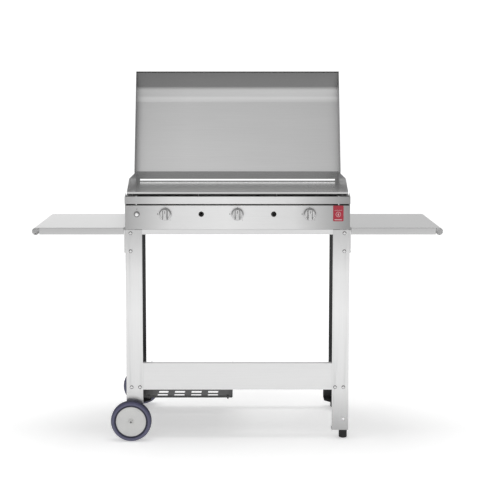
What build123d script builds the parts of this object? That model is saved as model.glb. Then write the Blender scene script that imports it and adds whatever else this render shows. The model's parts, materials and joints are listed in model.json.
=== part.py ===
from build123d import *
import math
import os

# Outdoor gas griddle on a two-wheeled stand, in millimetres.
# Working axes: x to the right, y backwards from the front face of the legs, z up from the floor.
# Every piece is shifted back by ORIGIN_DEPTH on export, so the origin is the centre of the footprint.

# Overall driving dimensions
BODY_HALF = 400.0
BODY_DEPTH = 424.0
STAND_TOP = 764.0
ORIGIN_DEPTH = 258.0
SHEET = 1.5
LEG_SHEET = 2.0
GAP = 0.1

# Legs
LEG_WIDTH = 60.0
LEG_FLANGE = 40.0
REAR_LEG_WIDTH = 38.0
LEG_BOTTOM = 33.0
LEG_TOP = STAND_TOP - 1.0
LEG_INNER = BODY_HALF - LEG_WIDTH
AXLE_X = 382.0
AXLE_Z = 73.0
AXLE_R = 4.0
AXLE_HOLE_R = 4.5

# Cross panels and rails
APRON_Z = (182.0, 279.0)
TOP_RAIL_Z = (746.0, STAND_TOP - GAP)
SIDE_RAIL_Z = (200.0, 260.0)
STRETCHER_Z = (95.0, 150.0)
STRETCHER_Y = (418.3, 419.9)
RAIL_FLANGE = 18.0

# Bolts
BOLT_R = 3.0
BOLT_HOLE_R = 3.4
BOLT_HEAD_R = 5.2
BOLT_HEAD_H = 2.6
NUT_R = 5.6
NUT_H = 5.0
FRONT_BOLTS = ((381.0, 751.0), (381.0, 686.0), (381.5, 191.0), (351.5, 191.0))
SHELF_BOLT_Y = (20.0, 404.0)
SHELF_BOLT_Z = (687.0, 751.0)
REAR_BOLT_Z = (110.0, 135.0)
REAR_BOLT_X = 388.0
TOP_REAR_BOLT_Z = 755.0

# Gas bottle tray
TRAY_X = (-338.4, -19.2)
TRAY_Y = (8.0, 402.0)
TRAY_Z = 150.0
TRAY_LIP = 8.0
TRAY_HOLE = (37.0, 26.0)
TRAY_PITCH = (61.0, 42.0)
TRAY_FIRST_HOLE = (66.0, 30.0)
HANGER_FOOT = 26.0
TRAY_BOLT_Y = (30.0, 380.0)
TRAY_BOLT_X = (-322.0, -35.0)

# Wheels and feet
WHEEL_R = AXLE_Z
WHEEL_W = 30.0
HUB_R = 54.0
WHEEL_Y = (-19.0, 443.0)
FOOT_X = 383.0
FOOT_Y = (25.0, 399.0)
FOOT_R = 15.0

# Side shelves
SHELF_TOP = 770.0
SHELF_FRONT_LOW = 746.0
SHELF_INNER = BODY_HALF + 5.2
SHELF_OUTER = 732.0
SHELF_DEPTH = 402.0
CURL_R = 13.0
END_PLATE_Z = (678.0, 771.0)
END_PLATE_DEPTH = 5.0

# Body
BODY_SIDE_TOP = 892.0
BODY_SIDE_LOW_TOP = 883.0
BODY_POST_DEPTH = 16.0
PANEL_TOP = 850.0
CONTROL_Z = 819.0
KNOB_X = (-257.0, 0.0, 257.0)
KNOB_NAMES = ("left", "centre", "right")
SIGHT_X = 129.0
SIGHT_R = 9.5
IGNITER_X = -358.0
BADGE_X = (339.8, 377.0)
BADGE_Z = (793.5, 849.7)
STEM_HOLE_R = 7.0

# Knobs and valves
KNOB_R = 21.8
KNOB_SKIRT = 9.0
KNOB_GAP = 5.0
KNOB_DEPTH = 24.0
GRIP_WIDTH = 15.0
GRIP_HALF = 19.0
STEM_R = 4.0
RUNNING = 0.05
PUSH_TRAVEL = 4.0
VALVE_Y = (14.0, 50.0)
VALVE_HALF = 14.0
COLLAR_Y = (20.0, 24.0)
COLLAR_R = 8.0
CAVITY_Y = (16.0, 34.0)
MANIFOLD_Y = 34.0
MANIFOLD_Z = 793.0
MANIFOLD_R = 9.0
MANIFOLD_X = (-285.0, 364.0)
INJECTOR_END = 66.0

# Igniter button
BUTTON_R = 7.4
BEZEL_R = 10.5

# Burners
BURNER_R = 16.0
BURNER_WALL = 1.5
BURNER_Y = (60.0, 380.0)
CRADLE_Y = (108.0, 330.0)
ELECTRODE_R = 3.5
ELECTRODE_AWAY = BURNER_R + 6.0
ELECTRODE_Z = CONTROL_Z - 6.0

# Grease drawer
DRAWER_HALF = 401.0
DRAWER_Z = (855.5, 882.0)
DRAWER_Y = (-1.6, 72.0)
DRAWER_BACK_TOP = 874.0

# Griddle plate and guards
PLATE_HALF = 394.2
PLATE_Y = (32.0, 420.0)
PLATE_Z = (886.0, 896.0)
SUPPORT_Z = (879.5, 881.0)
GUARD_X = (PLATE_HALF + GAP, PLATE_HALF + GAP + SHEET)
GUARD_TOP = 935.0
GUARD_LOW = 884.0
GUARD_SLOPE = ((32.0, 898.0), (124.0, GUARD_TOP))
SPLASH_SLOT_Z = (899.0, 905.4)

# Hood
HINGE_Y = 436.0
HINGE_Z = 920.0
HOOD_LEAN = 16.9
HOOD_INNER = 401.0
HOOD_HALF = 402.5
HOOD_REACH = 411.0
HOOD_EDGE = -36.0
HOOD_TOP = 25.0
HOOD_LIP = 10.8
HOOD_SLOPE = 33.0
HOOD_BEND_R = 105.0
HOOD_REAR = -20.0
HOOD_SKIN_REAR = -4.0
HOOD_SHEET = 1.2
PIN_R = 4.0
EAR_R = 13.0
EAR_X = (396.5, 398.4)


def slab(x_span, y_span, z_span):
    """Box between two limits on each axis."""
    size = [span[1] - span[0] for span in (x_span, y_span, z_span)]
    middle = [(span[1] + span[0]) / 2 for span in (x_span, y_span, z_span)]
    return Pos(*middle) * Box(*size)


def both(low, high):
    """Limits mirrored to the side that `high` points to, lowest first."""
    return (min(low, high), max(low, high))


def rod_y(radius, x, z, y_span):
    """Round bar along y."""
    length = y_span[1] - y_span[0]
    return Pos(x, sum(y_span) / 2, z) * Rot(90, 0, 0) * Cylinder(radius, length)


def rod_x(radius, y, z, x_span):
    """Round bar along x."""
    length = x_span[1] - x_span[0]
    return Pos(sum(x_span) / 2, y, z) * Rot(0, 90, 0) * Cylinder(radius, length)


def rod_z(radius, x, y, z_span):
    """Round bar along z."""
    length = z_span[1] - z_span[0]
    return Pos(x, y, sum(z_span) / 2) * Cylinder(radius, length)


def outline(*points):
    """Flat face with straight sides."""
    return make_face(Polyline(*points, close=True))


def along_x(face, x_span):
    """Extrude a face drawn in (y, z) along x."""
    return extrude(Plane.YZ.offset(x_span[0]) * face, amount=x_span[1] - x_span[0])


def along_y(face, y_span):
    """Extrude a face drawn in (x, z) along y."""
    return extrude(Plane.XZ.offset(-y_span[1]) * face, amount=y_span[1] - y_span[0])


def along_z(face, z_span):
    """Extrude a face drawn in (x, y) along z."""
    return extrude(Plane.XY.offset(z_span[0]) * face, amount=z_span[1] - z_span[0])


def mirrored(piece):
    """The same piece on the other side of the griddle."""
    return mirror(piece, about=Plane.YZ)


def hex_nut_y(x, z, y_start):
    """Hexagon nut along y, starting at y_start, bored for a bolt."""
    blank = along_y(Pos(x, z) * RegularPolygon(NUT_R, 6), (y_start, y_start + NUT_H))
    return blank - rod_y(BOLT_R + RUNNING, x, z, (y_start - 1, y_start + NUT_H + 1))


def bolt_y(x, z, head_y, length):
    """Dome-head bolt along y, its head in front of head_y."""
    head = rod_y(BOLT_HEAD_R, x, z, (head_y - BOLT_HEAD_H, head_y))
    head = fillet(head.edges().sort_by(Axis.Y)[0], BOLT_HEAD_H * 0.7)
    return head + rod_y(BOLT_R, x, z, (head_y, head_y + length))


def front_leg():
    """Right front leg: stainless angle with a folded foot flange."""
    x_span = (LEG_INNER, BODY_HALF)
    leg = slab(x_span, (0, LEG_SHEET), (LEG_BOTTOM, LEG_TOP))
    leg += slab((BODY_HALF - LEG_SHEET, BODY_HALF), (0, LEG_FLANGE), (LEG_BOTTOM, LEG_TOP))
    leg += slab(x_span, (0, LEG_FLANGE), (LEG_BOTTOM, LEG_BOTTOM + LEG_SHEET))
    for x, z in FRONT_BOLTS:
        leg -= rod_y(BOLT_HOLE_R, x, z, (-1, LEG_SHEET + 1))
    leg -= rod_y(AXLE_HOLE_R, AXLE_X, AXLE_Z, (-1, LEG_SHEET + 1))
    leg -= rod_z(BOLT_HOLE_R, FOOT_X, FOOT_Y[0], (LEG_BOTTOM - 1, LEG_BOTTOM + LEG_SHEET + 1))
    for z in SHELF_BOLT_Z:
        leg -= rod_x(BOLT_HOLE_R, SHELF_BOLT_Y[0], z, (BODY_HALF - 3, BODY_HALF + 1))
    return leg


def rear_leg():
    """Right rear leg: narrow painted angle."""
    y_back = (BODY_DEPTH - LEG_SHEET, BODY_DEPTH)
    leg = slab((BODY_HALF - REAR_LEG_WIDTH, BODY_HALF), y_back, (LEG_BOTTOM, LEG_TOP))
    leg += slab(
        (BODY_HALF - LEG_SHEET, BODY_HALF),
        (BODY_DEPTH - LEG_FLANGE, BODY_DEPTH),
        (LEG_BOTTOM, LEG_TOP),
    )
    leg -= rod_y(AXLE_HOLE_R, AXLE_X, AXLE_Z, (BODY_DEPTH - 3, BODY_DEPTH + 1))
    for z in REAR_BOLT_Z + (TOP_REAR_BOLT_Z,):
        leg -= rod_y(BOLT_HOLE_R, REAR_BOLT_X, z, (BODY_DEPTH - 3, BODY_DEPTH + 1))
    for z in SHELF_BOLT_Z:
        leg -= rod_x(BOLT_HOLE_R, SHELF_BOLT_Y[1], z, (BODY_HALF - 3, BODY_HALF + 1))
    return leg


def rear_foot_bracket():
    """Right rear foot bracket: a plate behind and a chamfered floor plate."""
    inner = LEG_INNER + 1
    outer = BODY_HALF - LEG_SHEET - GAP
    back = BODY_DEPTH - LEG_SHEET - GAP
    bracket = slab((inner, outer), (back - LEG_SHEET, back), (LEG_BOTTOM, 172.0))
    chamfer = 24.0
    front = 345.0
    floor_plate = outline(
        (inner, back), (inner, front + chamfer), (inner + chamfer, front), (outer, front), (outer, back)
    )
    bracket += along_z(floor_plate, (LEG_BOTTOM, LEG_BOTTOM + LEG_SHEET))
    bracket -= rod_y(AXLE_HOLE_R, AXLE_X, AXLE_Z, (back - 4, back + 1))
    bracket -= rod_z(BOLT_HOLE_R, FOOT_X, FOOT_Y[1], (LEG_BOTTOM - 1, LEG_BOTTOM + LEG_SHEET + 1))
    for z in REAR_BOLT_Z:
        bracket -= rod_y(BOLT_HOLE_R, REAR_BOLT_X, z, (back - 4, back + 1))
    return bracket


def front_cross_panel(z_span, bolts):
    """Panel between the front legs, flush with them, with end tabs tucked behind."""
    half = LEG_INNER - GAP
    panel = slab((-half, half), (0, SHEET), z_span)
    for z_flange in ((z_span[0], z_span[0] + SHEET), (z_span[1] - SHEET, z_span[1])):
        panel += slab((-half, half), (0, RAIL_FLANGE), z_flange)
    tab_y = (LEG_SHEET + GAP, LEG_SHEET + GAP + SHEET)
    tab_z = (z_span[0] + 2, z_span[1] - 2)
    for side in (-1, 1):
        panel += slab(both(side * (half - 4), side * half), (0, tab_y[1]), tab_z)
        panel += slab(both(side * (half - 4), side * 392.0), tab_y, tab_z)
        for x, z in bolts:
            panel -= rod_y(BOLT_HOLE_R, side * x, z, (tab_y[0] - 1, tab_y[1] + 1))
    return panel


def top_rail_rear():
    """Painted channel between the rear legs."""
    y_back = BODY_DEPTH - LEG_SHEET - GAP
    half = BODY_HALF - LEG_SHEET - GAP
    rail = slab((-half, half), (y_back - SHEET, y_back), TOP_RAIL_Z)
    rail += slab((-half, half), (y_back - RAIL_FLANGE, y_back), (TOP_RAIL_Z[1] - SHEET, TOP_RAIL_Z[1]))
    for side in (-1, 1):
        rail -= rod_y(BOLT_HOLE_R, side * REAR_BOLT_X, TOP_REAR_BOLT_Z, (y_back - 3, y_back + 1))
    return rail


def side_channel(z_span, y_span, flange):
    """Right side channel between the front and the rear leg."""
    outer = BODY_HALF - LEG_SHEET - GAP
    rail = slab((outer - SHEET, outer), y_span, z_span)
    for z_flange in ((z_span[0], z_span[0] + SHEET), (z_span[1] - SHEET, z_span[1])):
        rail += slab((outer - flange, outer), y_span, z_flange)
    for y in SHELF_BOLT_Y:
        rail -= rod_x(BOLT_HOLE_R, y, SHELF_BOLT_Z[1], (outer - 3, outer + 1))
    return rail


def rear_stretcher():
    """Painted channel low across the back."""
    half = 392.0
    bar = slab((-half, half), STRETCHER_Y, STRETCHER_Z)
    for z_flange in ((STRETCHER_Z[0], STRETCHER_Z[0] + SHEET), (STRETCHER_Z[1] - SHEET, STRETCHER_Z[1])):
        bar += slab((-half, half), (STRETCHER_Y[0] - 15, STRETCHER_Y[1]), z_flange)
    for side in (-1, 1):
        for z in REAR_BOLT_Z:
            bar -= rod_y(BOLT_HOLE_R, side * REAR_BOLT_X, z, (STRETCHER_Y[0] - 1, STRETCHER_Y[1] + 1))
    return bar


def gas_bottle_tray():
    """Perforated tray for the gas bottle, with a low lip all round."""
    z_floor = (TRAY_Z, TRAY_Z + SHEET)
    z_lip = (TRAY_Z, TRAY_Z + TRAY_LIP)
    tray = slab(TRAY_X, TRAY_Y, z_floor)
    tray += slab(TRAY_X, (TRAY_Y[0], TRAY_Y[0] + SHEET), z_lip)
    tray += slab(TRAY_X, (TRAY_Y[1] - SHEET, TRAY_Y[1]), z_lip)
    holes = []
    for column in range(4):
        for row in range(8):
            x = TRAY_X[0] + TRAY_FIRST_HOLE[0] + TRAY_PITCH[0] * column
            y = TRAY_Y[0] + TRAY_FIRST_HOLE[1] + TRAY_PITCH[1] * row
            holes.append(Pos(x, y, TRAY_Z) * extrude(RectangleRounded(*TRAY_HOLE, 4), amount=6, both=True))
    tray -= holes
    for x in TRAY_BOLT_X:
        for y in TRAY_BOLT_Y:
            tray -= rod_z(BOLT_HOLE_R, x, y, (TRAY_Z - 1, TRAY_Z + SHEET + 1))
    return tray


def tray_hanger(x_web, side):
    """Bar that carries one end of the tray, from the apron to the rear stretcher."""
    flange_z = TRAY_Z + SHEET + GAP
    web_top = APRON_Z[0] - GAP
    web_x = both(x_web, x_web + side * SHEET)
    foot_x = both(x_web + side * SHEET, x_web - side * HANGER_FOOT)
    lip = SHEET + 2 * GAP
    hanger = slab(web_x, (TRAY_Y[0] + lip, STRETCHER_Y[0] - GAP), (flange_z, web_top))
    hanger += slab(foot_x, (TRAY_Y[0] + lip, TRAY_Y[1] - lip), (flange_z, flange_z + SHEET))
    hanger += slab(foot_x, (TRAY_Y[0] + lip, RAIL_FLANGE), (web_top - SHEET, web_top))
    rear = (STRETCHER_Y[0] - 15, STRETCHER_Y[0] - GAP)
    rest_z = STRETCHER_Z[1] + GAP
    hanger += slab(web_x, rear, (rest_z, web_top))
    hanger += slab(foot_x, rear, (rest_z, rest_z + SHEET))
    bolt_x = TRAY_BOLT_X[0] if side < 0 else TRAY_BOLT_X[1]
    for y in TRAY_BOLT_Y:
        hanger -= rod_z(BOLT_HOLE_R, bolt_x, y, (flange_z - 1, flange_z + SHEET + 1))
    return hanger


def front_bolts():
    """Dome bolts and nuts of the two front legs."""
    pieces = []
    nut_y = LEG_SHEET + GAP + SHEET + GAP
    for side in (-1, 1):
        for x, z in FRONT_BOLTS:
            pieces.append(bolt_y(side * x, z, -GAP, nut_y + NUT_H + 1))
            pieces.append(hex_nut_y(side * x, z, nut_y))
    return pieces


def shelf_bolts():
    """Bolts along x through the shelf end plates and the leg flanges."""
    pieces = []
    plate_face = BODY_HALF + GAP + LEG_SHEET + GAP
    inner = BODY_HALF - LEG_SHEET - GAP - SHEET - GAP - NUT_H
    for side in (-1, 1):
        for y in SHELF_BOLT_Y:
            for z in SHELF_BOLT_Z:
                head = rod_x(BOLT_HEAD_R, y, z, both(side * plate_face, side * (plate_face + BOLT_HEAD_H)))
                shank = rod_x(BOLT_R, y, z, both(side * inner, side * plate_face))
                pieces.append(head + shank)
    return pieces


def stand_bolts():
    """Painted bolts of the rear joints, the tray bolts and the two foot screws."""
    pieces = []
    for side in (-1, 1):
        for z in REAR_BOLT_Z + (TOP_REAR_BOLT_Z,):
            head_y = BODY_DEPTH + GAP
            head = rod_y(BOLT_HEAD_R, side * REAR_BOLT_X, z, (head_y, head_y + BOLT_HEAD_H))
            shank = rod_y(BOLT_R, side * REAR_BOLT_X, z, (STRETCHER_Y[0] - 6, head_y))
            pieces.append(head + shank)
    for x in TRAY_BOLT_X:
        for y in TRAY_BOLT_Y:
            head_z = TRAY_Z + 2 * SHEET + 2 * GAP
            head = rod_z(BOLT_HEAD_R, x, y, (head_z, head_z + BOLT_HEAD_H))
            pieces.append(head + rod_z(BOLT_R, x, y, (TRAY_Z - 10, head_z)))
    for y in FOOT_Y:
        head_z = LEG_BOTTOM + LEG_SHEET + GAP
        head = rod_z(BOLT_HEAD_R, FOOT_X, y, (head_z, head_z + BOLT_HEAD_H))
        pieces.append(head + rod_z(BOLT_R, FOOT_X, y, (LEG_BOTTOM - 18, head_z)))
    return pieces


def rubber_foot(y):
    """Round rubber foot, bored for its screw."""
    foot = rod_z(FOOT_R, FOOT_X, y, (0, LEG_BOTTOM - GAP))
    foot = fillet(foot.edges().sort_by(Axis.Z)[0], 3)
    return foot - rod_z(BOLT_R + RUNNING, FOOT_X, y, (LEG_BOTTOM - 19, LEG_BOTTOM + 1))


def wheel_axle():
    """One axle through both left legs, carrying both wheels."""
    return rod_y(AXLE_R, -AXLE_X, AXLE_Z, (WHEEL_Y[0] - 19, WHEEL_Y[1] + 19))


def axle_nuts():
    """Domed nuts that keep the wheels on the axle."""
    pieces = []
    for y_mid, side in ((WHEEL_Y[0], -1), (WHEEL_Y[1], 1)):
        y_span = both(y_mid + side * (WHEEL_W / 2 + 0.4), y_mid + side * (WHEEL_W / 2 + 4.5))
        nut = rod_y(6.5, -AXLE_X, AXLE_Z, y_span)
        pieces.append(nut - rod_y(AXLE_R, -AXLE_X, AXLE_Z, (y_span[0] - 1, y_span[1] + 1)))
    return pieces


def tyre(y_mid):
    """Tyre with rounded shoulders, on the hub's rim."""
    y_span = (y_mid - WHEEL_W / 2, y_mid + WHEEL_W / 2)
    ring = rod_y(WHEEL_R, -AXLE_X, AXLE_Z, y_span)
    ring = fillet(ring.edges().filter_by(GeomType.CIRCLE), 9)
    return ring - rod_y(HUB_R, -AXLE_X, AXLE_Z, (y_span[0] - 1, y_span[1] + 1))


def hub(y_mid, outward):
    """Dished hub: outer disc, rim and a bored barrel that reaches to the leg."""
    y_span = (y_mid - WHEEL_W / 2 + 1, y_mid + WHEEL_W / 2 - 1)
    rim = rod_y(HUB_R, -AXLE_X, AXLE_Z, y_span)
    disc = 3.0
    hollow = (y_span[0] + disc, y_span[1] + 1) if outward < 0 else (y_span[0] - 1, y_span[1] - disc)
    rim -= rod_y(HUB_R - 4, -AXLE_X, AXLE_Z, hollow)
    leg_side = y_mid - outward * (WHEEL_W / 2 + 3.6)
    barrel = rod_y(11, -AXLE_X, AXLE_Z, both(leg_side, y_mid + outward * (WHEEL_W / 2 - 2)))
    return rim + barrel - rod_y(AXLE_R + RUNNING, -AXLE_X, AXLE_Z, (y_mid - 40, y_mid + 40))


def side_shelf():
    """Right side shelf: flat top, folded front and back, outer edge rolled under."""
    flat_end = SHELF_OUTER - CURL_R
    shelf = slab((SHELF_INNER, flat_end), (0, SHELF_DEPTH), (SHELF_TOP - SHEET, SHELF_TOP))
    flange_x = (SHELF_INNER, SHELF_OUTER - 2 * CURL_R)
    for y_span in ((0, SHEET), (SHELF_DEPTH - SHEET, SHELF_DEPTH)):
        shelf += slab(flange_x, y_span, (SHELF_FRONT_LOW, SHELF_TOP))
    shelf += slab((SHELF_INNER, SHELF_INNER + SHEET), (0, SHELF_DEPTH), (SHELF_FRONT_LOW, SHELF_TOP))
    ring = Circle(CURL_R) - Circle(CURL_R - SHEET)
    kept = Pos(CURL_R, 0) * Rectangle(2 * CURL_R, 3 * CURL_R)
    kept += Pos(0, -CURL_R) * Rectangle(CURL_R, CURL_R)
    curl = Pos(flat_end, SHELF_TOP - CURL_R) * (ring & kept)
    shelf += along_y(curl, (0, SHELF_DEPTH))
    return shelf


def shelf_end_plate():
    """Right shelf end plate: a shallow pan bolted to the outside of the legs."""
    face = (BODY_HALF + GAP, BODY_HALF + GAP + LEG_SHEET)
    z_low, z_high = END_PLATE_Z
    corner = 14.0
    blank = Pos(BODY_DEPTH / 2, (z_low + z_high) / 2) * RectangleRounded(
        BODY_DEPTH, z_high - z_low, corner
    )
    inside = Pos(BODY_DEPTH / 2, (z_low + z_high) / 2) * RectangleRounded(
        BODY_DEPTH - 2 * LEG_SHEET, z_high - z_low - 2 * LEG_SHEET, corner - LEG_SHEET
    )
    plate = along_x(blank, face) + along_x(blank - inside, (face[0], BODY_HALF + END_PLATE_DEPTH))
    for y in SHELF_BOLT_Y:
        for z in SHELF_BOLT_Z:
            plate -= rod_x(BOLT_HOLE_R, y, z, (BODY_HALF - 1, BODY_HALF + 4))
    return plate


def body_side():
    """Right body side: sheet with a folded bottom flange and a raised front post."""
    low = STAND_TOP + GAP
    x_span = (BODY_HALF - SHEET, BODY_HALF)
    side = slab(x_span, (SHEET + GAP, BODY_DEPTH), (low, BODY_SIDE_LOW_TOP))
    side += slab(x_span, (SHEET + GAP, BODY_POST_DEPTH), (low, BODY_SIDE_TOP))
    side += slab((BODY_HALF - 20, BODY_HALF), (22, BODY_DEPTH - 4), (low, low + SHEET))
    return side


def body_back():
    """Rear panel with vent slots and the gas inlet hole."""
    half = EAR_X[0] - GAP
    panel = slab((-half, half), (BODY_DEPTH - SHEET, BODY_DEPTH), (STAND_TOP + GAP, BODY_SIDE_TOP))
    for column in range(-9, 10):
        x = 36.0 * column
        slot = Pos(x, 862.0) * SlotOverall(26, 6)
        panel -= along_y(slot, (BODY_DEPTH - 3, BODY_DEPTH + 1))
    return panel - rod_y(MANIFOLD_R + 1, MANIFOLD_X[1], MANIFOLD_Z, (BODY_DEPTH - 3, BODY_DEPTH + 1))


def body_pan():
    """Heat shield that closes the body underneath."""
    low = STAND_TOP + GAP + SHEET + GAP
    pan = slab((-397, 397), (24, BODY_DEPTH - 3), (low, low + SHEET))
    for column in range(-5, 6):
        slot = Pos(62.0 * column, 220.0) * SlotOverall(120, 10, rotation=90)
        pan -= along_z(slot, (low - 1, low + SHEET + 1))
    return pan


def control_panel():
    """Folded front panel with its control and sight holes."""
    low = STAND_TOP + GAP
    panel = slab((-BODY_HALF, BODY_HALF), (0, SHEET), (low, PANEL_TOP))
    panel += slab((-396, 396), (0, 16), (PANEL_TOP - SHEET, PANEL_TOP))
    panel += slab((-396, 396), (0, 20), (low, low + SHEET))
    holes = [(x, STEM_HOLE_R) for x in KNOB_X]
    holes += [(-SIGHT_X, SIGHT_R), (SIGHT_X, SIGHT_R), (IGNITER_X, BEZEL_R - 2)]
    for x, radius in holes:
        panel -= rod_y(radius, x, CONTROL_Z, (-1, SHEET + 1))
    return panel


def badge():
    """Plain enamelled plate with round corners."""
    plate = Pos(sum(BADGE_X) / 2, sum(BADGE_Z) / 2) * RectangleRounded(
        BADGE_X[1] - BADGE_X[0], BADGE_Z[1] - BADGE_Z[0], 3
    )
    return along_y(plate, (-1.2, -GAP))


def knob(x):
    """Metal control knob: round skirt, upright grip bar and a bore for the stem."""
    back = -KNOB_GAP
    skirt = rod_y(KNOB_R, x, CONTROL_Z, (back - KNOB_SKIRT, back))
    skirt = fillet(skirt.edges().filter_by(GeomType.CIRCLE).sort_by(Axis.Y)[0], 2)
    grip_y = (back - KNOB_DEPTH, back - KNOB_SKIRT + 1)
    grip_x = (x - GRIP_WIDTH / 2, x + GRIP_WIDTH / 2)
    grip = slab(grip_x, grip_y, (CONTROL_Z - GRIP_HALF, CONTROL_Z + GRIP_HALF))
    front_edges = grip.edges().group_by(Axis.Y)[0]
    grip = fillet(front_edges, 2)
    bore = rod_y(STEM_R + RUNNING, x, CONTROL_Z, (back - KNOB_DEPTH + 6 - RUNNING, back + 1))
    return skirt + grip - bore


def valve_stem(x):
    """Round valve stem with a collar stop, turning and sliding in the valve."""
    return rod_y(STEM_R, x, CONTROL_Z, (-KNOB_GAP - KNOB_DEPTH + 6, 40))


def valve_collar(x):
    """Sprung collar around the stem, sliding in the valve's cavity."""
    ring = rod_y(COLLAR_R - RUNNING, x, CONTROL_Z, COLLAR_Y)
    return ring - rod_y(STEM_R + RUNNING, x, CONTROL_Z, (0, 60))


def gas_valve(x):
    """Gas tap: block with saddle on the manifold, cavity, stem bore and injector."""
    half = VALVE_HALF
    block = slab((x - half, x + half), VALVE_Y, (CONTROL_Z - half, CONTROL_Z + half))
    block += slab((x - 10, x + 10), (MANIFOLD_Y - 10, MANIFOLD_Y + 10), (MANIFOLD_Z, CONTROL_Z - half))
    block += rod_y(6, x, CONTROL_Z, (VALVE_Y[1], INJECTOR_END))
    block -= rod_x(MANIFOLD_R + RUNNING, MANIFOLD_Y, MANIFOLD_Z, (x - 11, x + 11))
    block -= rod_y(COLLAR_R, x, CONTROL_Z, CAVITY_Y)
    block -= rod_y(STEM_R + RUNNING, x, CONTROL_Z, (0, 40 + PUSH_TRAVEL + 1))
    return block - rod_y(1.2, x, CONTROL_Z, (40, INJECTOR_END + 1))


def gas_manifold():
    """Gas rail across the front, and its pipe back to the inlet."""
    tube = rod_x(MANIFOLD_R, MANIFOLD_Y, MANIFOLD_Z, MANIFOLD_X)
    back_pipe = rod_y(MANIFOLD_R, MANIFOLD_X[1], MANIFOLD_Z, (MANIFOLD_Y, BODY_DEPTH + 6))
    bend = Pos(MANIFOLD_X[1], MANIFOLD_Y, MANIFOLD_Z) * Sphere(MANIFOLD_R)
    return tube + back_pipe + bend


def gas_inlet():
    """Brass inlet fitting at the back, with a hexagon and a bored spigot."""
    x = MANIFOLD_X[1]
    start = BODY_DEPTH + 6 + GAP
    fitting = along_y(Pos(x, MANIFOLD_Z) * RegularPolygon(14, 6), (start, start + 10))
    fitting += rod_y(10, x, MANIFOLD_Z, (start + 10, start + 26))
    return fitting - rod_y(4, x, MANIFOLD_Z, (start + 2, start + 27))


def burner(x):
    """Tube burner: venturi mouth in front, closed end behind, ports along both sides."""
    tube = rod_y(BURNER_R, x, CONTROL_Z, BURNER_Y)
    tube -= rod_y(BURNER_R - BURNER_WALL, x, CONTROL_Z, (BURNER_Y[0] - 1, BURNER_Y[1] - 3))
    for row in range(10):
        y = BURNER_Y[0] + 70 + 24 * row
        tube -= rod_x(2.5, y, CONTROL_Z + 6, (x - BURNER_R - 1, x + BURNER_R + 1))
    tube -= slab((x - 5, x + 5), (BURNER_Y[0] + 14, BURNER_Y[0] + 30), (CONTROL_Z - 20, CONTROL_Z))
    return tube


def burner_cradle(y_face):
    """Cross bar with a round seat for each burner and a hole for each electrode."""
    low = STAND_TOP + 2 * (GAP + SHEET) + GAP
    y_span = (y_face, y_face + SHEET)
    y_cut = (y_face - 1, y_face + SHEET + 1)
    bar = slab((-330, 330), y_span, (low, CONTROL_Z + 4))
    bar += slab((-330, 330), (y_face, y_face + 18), (low, low + SHEET))
    seat = BURNER_R + GAP
    for x in KNOB_X:
        bar -= rod_y(seat, x, CONTROL_Z, y_cut)
        bar -= slab((x - seat, x + seat), y_cut, (CONTROL_Z, CONTROL_Z + 5))
        bar -= rod_y(ELECTRODE_R + GAP, x + ELECTRODE_AWAY, ELECTRODE_Z, y_cut)
    return bar


def electrode(x):
    """Spark electrode beside a burner: ceramic sleeve held in the front cradle, and its pin."""
    x_sleeve = x + ELECTRODE_AWAY
    front = CRADLE_Y[0] - 14
    sleeve = rod_y(ELECTRODE_R, x_sleeve, ELECTRODE_Z, (front, front + 40))
    return sleeve + rod_y(1, x_sleeve, ELECTRODE_Z, (front + 40, front + 56))


def igniter_body():
    """Barrel of the spark igniter behind the panel, with a bezel in front."""
    barrel = rod_y(BEZEL_R - 2.2, IGNITER_X, CONTROL_Z, (-GAP, 46))
    bezel = rod_y(BEZEL_R, IGNITER_X, CONTROL_Z, (-2.5, -GAP))
    return barrel + bezel - rod_y(BUTTON_R + RUNNING, IGNITER_X, CONTROL_Z, (-4, 30))


def igniter_button():
    """Domed push button of the igniter."""
    button = rod_y(BUTTON_R, IGNITER_X, CONTROL_Z, (-9.5, 18))
    return fillet(button.edges().filter_by(GeomType.CIRCLE).sort_by(Axis.Y)[0], 4)


def grease_drawer():
    """Full-width grease drawer: tall front, floor, low back and ends."""
    inner_half = 395.6
    y_front, y_back = DRAWER_Y
    z_floor = (DRAWER_Z[0] + 2, DRAWER_Z[0] + 2 + SHEET)
    drawer = slab((-DRAWER_HALF, DRAWER_HALF), (y_front, -GAP), DRAWER_Z)
    drawer += slab((-inner_half, inner_half), (-GAP, y_back), z_floor)
    drawer += slab((-inner_half, inner_half), (y_back - SHEET, y_back), (z_floor[0], DRAWER_BACK_TOP))
    for side in (-1, 1):
        x_end = both(side * (inner_half - SHEET), side * inner_half)
        drawer += slab(x_end, (-GAP, y_back), (z_floor[0], DRAWER_BACK_TOP))
    return drawer


def drawer_runner():
    """Right runner that the grease drawer slides on."""
    outer = BODY_HALF - SHEET - GAP
    z_high = DRAWER_Z[0] + 2 - GAP
    runner = slab((outer - 18, outer), (20, 88), (z_high - SHEET, z_high))
    return runner + slab((outer - SHEET, outer), (20, 88), (z_high - 14, z_high))


def plate_support():
    """Right angle bar that carries the plate's studs."""
    outer = BODY_HALF - SHEET - GAP
    bar = slab((358, outer), (PLATE_Y[0] + 3, 395), SUPPORT_Z)
    return bar + slab((outer - SHEET, outer), (90, 395), (SUPPORT_Z[0] - 14, SUPPORT_Z[1]))


def plate_studs():
    """Short studs under the plate: four on the supports and two near the front edge."""
    places = [(side * 376, y) for side in (-1, 1) for y in (44, 380)]
    places += [(-140, 38), (140, 38)]
    return [rod_z(4, x, y, (SUPPORT_Z[1] + GAP, PLATE_Z[0] - GAP)) for x, y in places]


def griddle_plate():
    """Thick steel cooking plate, eased along its top edges."""
    plate = slab((-PLATE_HALF, PLATE_HALF), PLATE_Y, PLATE_Z)
    return fillet(plate.edges().filter_by(Axis.X).sort_by(Axis.Y)[0:2], 2.5)


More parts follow.
